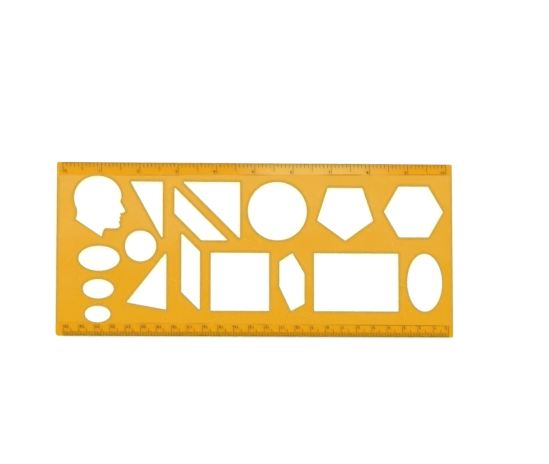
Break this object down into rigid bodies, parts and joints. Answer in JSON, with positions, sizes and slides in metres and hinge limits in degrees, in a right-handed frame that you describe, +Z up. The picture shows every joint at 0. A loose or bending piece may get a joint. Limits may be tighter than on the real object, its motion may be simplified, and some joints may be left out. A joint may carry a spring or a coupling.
{
  "type": "geometric shape template",
  "caption": "Flat tinted plastic drawing template with shapes to trace round, a head in profile, and a bevelled ruling edge with a printed scale on each long side.",
  "frame": {"origin": "centre of the underside", "axes": "+X along the ruling edges, to the right as the upper scale is read; +Y across the plate, towards the upper scale; +Z up, out of the printed and bevelled face"},
  "size_m": [0.258, 0.1138, 0.0015],
  "materials": {
    "tinted_plastic": "clear amber tint, smooth, lightly scuffed from use",
    "scale_ink": "printed ink, dark brown to black, slightly worn"
  },
  "bodies": {
    "root": {"template_plate": "tinted_plastic", "upper_scale_ticks": "scale_ink", "lower_scale_ticks": "scale_ink", "upper_number_0": "scale_ink", "upper_number_1": "scale_ink", "upper_number_2": "scale_ink", "upper_number_3": "scale_ink", "upper_number_4": "scale_ink", "upper_number_5": "scale_ink", "upper_number_6": "scale_ink", "upper_number_7": "scale_ink", "upper_number_8": "scale_ink", "upper_number_9": "scale_ink", "upper_number_10_tens": "scale_ink", "upper_number_10_units": "scale_ink", "lower_number_0": "scale_ink", "lower_number_1": "scale_ink", "lower_number_2": "scale_ink", "lower_number_3": "scale_ink", "lower_number_4": "scale_ink", "lower_number_5": "scale_ink", "lower_number_6": "scale_ink", "lower_number_7": "scale_ink", "lower_number_8": "scale_ink", "lower_number_9": "scale_ink", "lower_number_10_tens": "scale_ink", "lower_number_10_units": "scale_ink", "lower_number_11_tens": "scale_ink", "lower_number_11_units": "scale_ink", "lower_number_12_tens": "scale_ink", "lower_number_12_units": "scale_ink", "lower_number_13_tens": "scale_ink", "lower_number_13_units": "scale_ink", "lower_number_14_tens": "scale_ink", "lower_number_14_units": "scale_ink", "lower_number_15_tens": "scale_ink", "lower_number_15_units": "scale_ink", "lower_number_16_tens": "scale_ink", "lower_number_16_units": "scale_ink", "lower_number_17_tens": "scale_ink", "lower_number_17_units": "scale_ink", "lower_number_18_tens": "scale_ink", "lower_number_18_units": "scale_ink", "lower_number_19_tens": "scale_ink", "lower_number_19_units": "scale_ink", "lower_number_20_tens": "scale_ink", "lower_number_20_units": "scale_ink", "lower_number_21_tens": "scale_ink", "lower_number_21_units": "scale_ink", "lower_number_22_tens": "scale_ink", "lower_number_22_units": "scale_ink", "lower_number_23_tens": "scale_ink", "lower_number_23_units": "scale_ink", "lower_number_24_tens": "scale_ink", "lower_number_24_units": "scale_ink", "lower_number_25_tens": "scale_ink", "lower_number_25_units": "scale_ink"}
  },
  "joints": []
}
